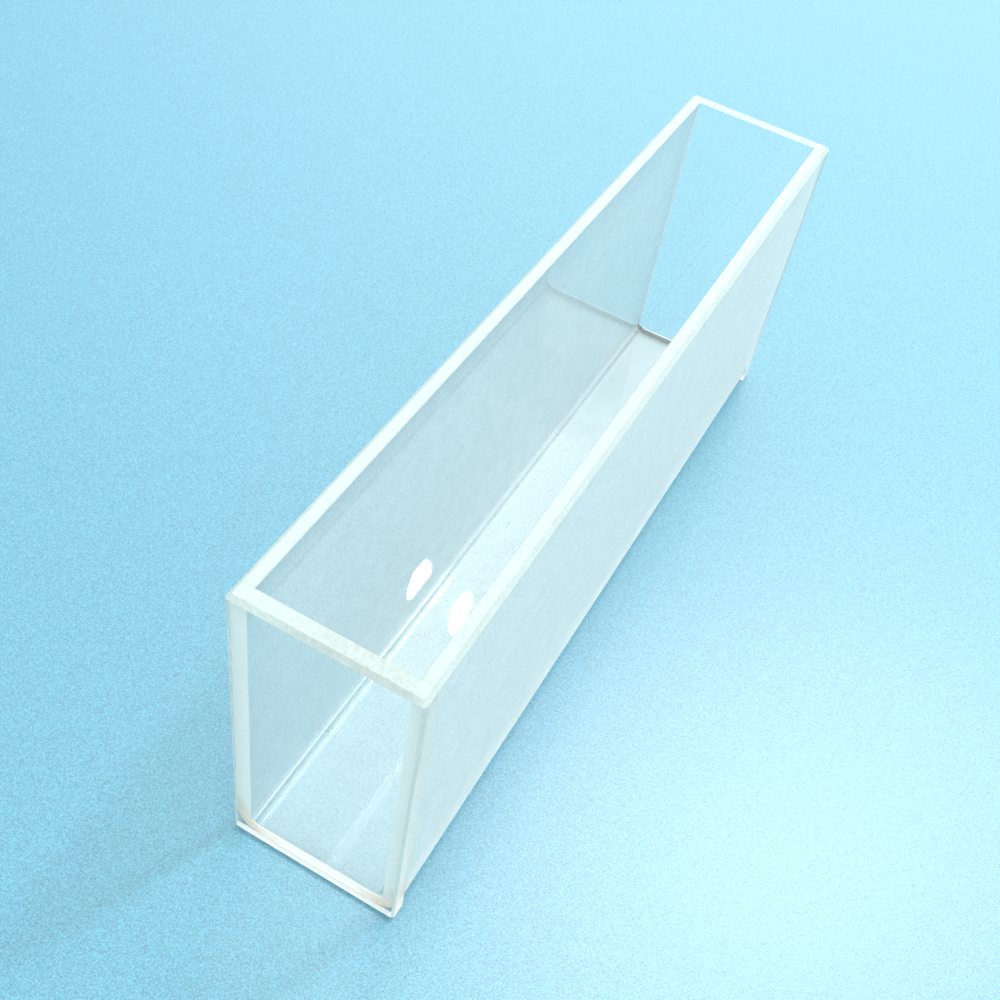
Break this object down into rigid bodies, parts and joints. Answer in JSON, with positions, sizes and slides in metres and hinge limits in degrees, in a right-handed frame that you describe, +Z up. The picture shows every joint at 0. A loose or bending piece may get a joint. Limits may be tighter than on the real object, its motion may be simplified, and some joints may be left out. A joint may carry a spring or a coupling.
{
  "type": "cuvette",
  "caption": "Open-topped rectangular glass cell that holds a liquid sample between two flat windows at the ends of a long light path.",
  "frame": {"origin": "middle of the face the cell rests on", "axes": "+Z up through the open top, +Y along the light path from the front window to the rear one, +X across the cell"},
  "size_m": [0.02, 0.104, 0.0408],
  "materials": {
    "body_glass": "clear moulded glass, polished inside, finely ground and milky on the outside walls, the underside and the rim",
    "window_glass": "clear flat glass, both faces polished, all edges and bevels ground",
    "fused_bond": "thin fused layer, milky white, turning amber towards the lower corners"
  },
  "bodies": {
    "root": {"body": "body_glass", "front_window": "window_glass", "rear_window": "window_glass", "front_seam": "fused_bond", "rear_seam": "fused_bond"}
  },
  "joints": []
}
